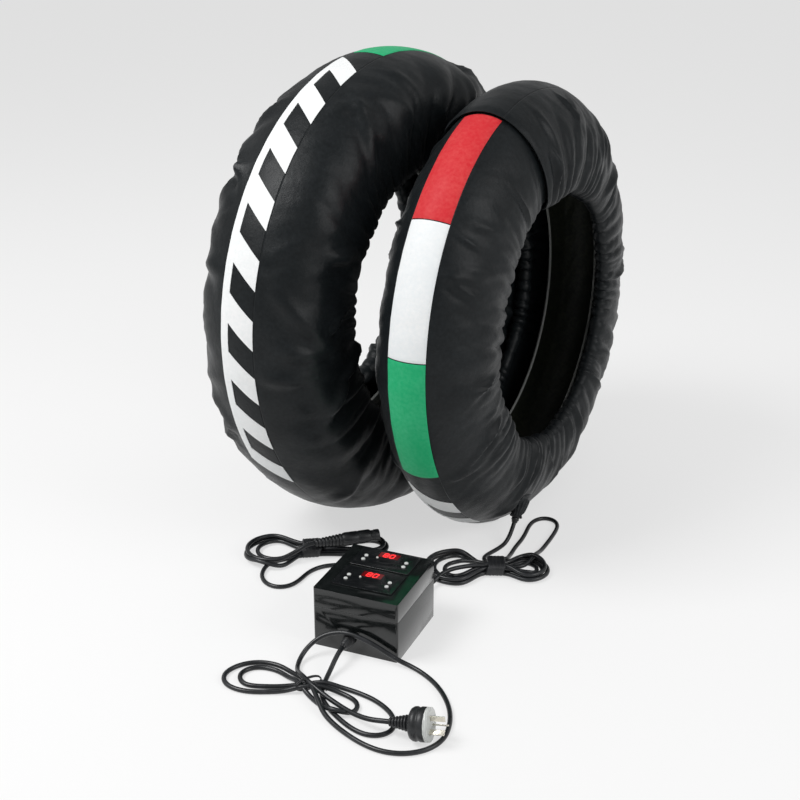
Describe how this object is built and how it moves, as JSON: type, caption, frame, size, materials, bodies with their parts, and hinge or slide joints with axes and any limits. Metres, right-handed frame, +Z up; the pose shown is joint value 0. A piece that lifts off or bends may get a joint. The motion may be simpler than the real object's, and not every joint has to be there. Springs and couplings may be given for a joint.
{
  "type": "motorcycle tire warmer set",
  "caption": "Heated fabric sleeves that wrap round motorcycle tyres, with a two-channel temperature control box, mains cord with plug and tied output leads.",
  "frame": {"origin": "on the floor, at the middle of the flat spot under the front sleeve", "axes": "+Z up, +X along the front sleeve's axle line, away from the rear sleeve, +Y away from the control box"},
  "size_m": [0.4954, 0.9349, 0.6612],
  "materials": {
    "cover_fabric": "black coated nylon, gathered",
    "felt": "grey needled felt",
    "heating_tape": "resistance wire in dark tape",
    "lining_fabric": "heat-proof woven lining",
    "elastic": "black woven elastic",
    "hook_tape": "black hook tape",
    "red_print": "red coated panel",
    "white_print": "white coated panel",
    "green_print": "green coated panel",
    "case_plastic": "glossy black moulded case",
    "panel_plastic": "satin black panel front",
    "circuit_board": "green circuit board",
    "red_display": "red lit display window",
    "button_plastic": "pale round button",
    "cord_rubber": "black flexible cord sheath and mouldings",
    "tie_band": "black band",
    "clear_plastic": "clear moulded disc",
    "pin_metal": "bright plated pins"
  },
  "bodies": {
    "root": {"front_cover": "cover_fabric", "front_insulation": "felt", "front_heating_element": "heating_tape", "front_lining": "lining_fabric", "front_hem_elastic_near": "elastic", "front_hem_elastic_far": "elastic", "front_closure_tape": "hook_tape", "front_stripe_red": "red_print", "front_stripe_white": "white_print", "front_stripe_green": "green_print", "front_motif": "white_print", "front_cable_tab": "cover_fabric", "front_controller": "panel_plastic", "front_board": "circuit_board", "front_display": "red_display", "rear_cover": "cover_fabric", "rear_insulation": "felt", "rear_heating_element": "heating_tape", "rear_lining": "lining_fabric", "rear_hem_elastic_near": "elastic", "rear_hem_elastic_far": "elastic", "rear_closure_tape": "hook_tape", "rear_stripe_red": "red_print", "rear_stripe_white": "white_print", "rear_stripe_green": "green_print", "rear_motif": "white_print", "rear_cable_tab": "cover_fabric", "rear_controller": "panel_plastic", "rear_board": "circuit_board", "rear_display": "red_display", "front_lead_boot": "cord_rubber", "box_base": "case_plastic", "box_lid": "case_plastic", "power_board": "circuit_board", "mains_relief": "cord_rubber", "rear_lead_relief": "cord_rubber", "front_lead_relief": "cord_rubber", "mains_cord": "cord_rubber", "rear_lead_feed": "cord_rubber", "rear_lead_hank": "cord_rubber", "front_lead_hank": "cord_rubber", "front_lead_tail": "cord_rubber", "front_lead_loop": "cord_rubber", "front_lead_feed": "cord_rubber", "rear_lead_connector": "cord_rubber", "plug_body": "cord_rubber", "rear_lead_tie": "tie_band", "front_lead_tie": "tie_band", "plug_disc": "clear_plastic", "plug_pin_live": "pin_metal", "plug_pin_neutral": "pin_metal", "plug_pin_earth": "pin_metal"},
    "front_button_1": {"front_button_1": "button_plastic"},
    "front_button_2": {"front_button_2": "button_plastic"},
    "front_button_3": {"front_button_3": "button_plastic"},
    "front_button_4": {"front_button_4": "button_plastic"},
    "rear_button_1": {"rear_button_1": "button_plastic"},
    "rear_button_2": {"rear_button_2": "button_plastic"},
    "rear_button_3": {"rear_button_3": "button_plastic"},
    "rear_button_4": {"rear_button_4": "button_plastic"}
  },
  "joints": [
    {"name": "front_button_1_press", "type": "slide", "parent": "root", "child": "front_button_1", "axis": [0, 0, -1], "range_m": [0, 0.0006], "stiffness_N_per_m": 400},
    {"name": "front_button_2_press", "type": "slide", "parent": "root", "child": "front_button_2", "axis": [0, 0, -1], "range_m": [0, 0.0006], "stiffness_N_per_m": 400},
    {"name": "front_button_3_press", "type": "slide", "parent": "root", "child": "front_button_3", "axis": [0, 0, -1], "range_m": [0, 0.0006], "stiffness_N_per_m": 400},
    {"name": "front_button_4_press", "type": "slide", "parent": "root", "child": "front_button_4", "axis": [0, 0, -1], "range_m": [0, 0.0006], "stiffness_N_per_m": 400},
    {"name": "rear_button_1_press", "type": "slide", "parent": "root", "child": "rear_button_1", "axis": [0, 0, -1], "range_m": [0, 0.0006], "stiffness_N_per_m": 400},
    {"name": "rear_button_2_press", "type": "slide", "parent": "root", "child": "rear_button_2", "axis": [0, 0, -1], "range_m": [0, 0.0006], "stiffness_N_per_m": 400},
    {"name": "rear_button_3_press", "type": "slide", "parent": "root", "child": "rear_button_3", "axis": [0, 0, -1], "range_m": [0, 0.0006], "stiffness_N_per_m": 400},
    {"name": "rear_button_4_press", "type": "slide", "parent": "root", "child": "rear_button_4", "axis": [0, 0, -1], "range_m": [0, 0.0006], "stiffness_N_per_m": 400}
  ]
}
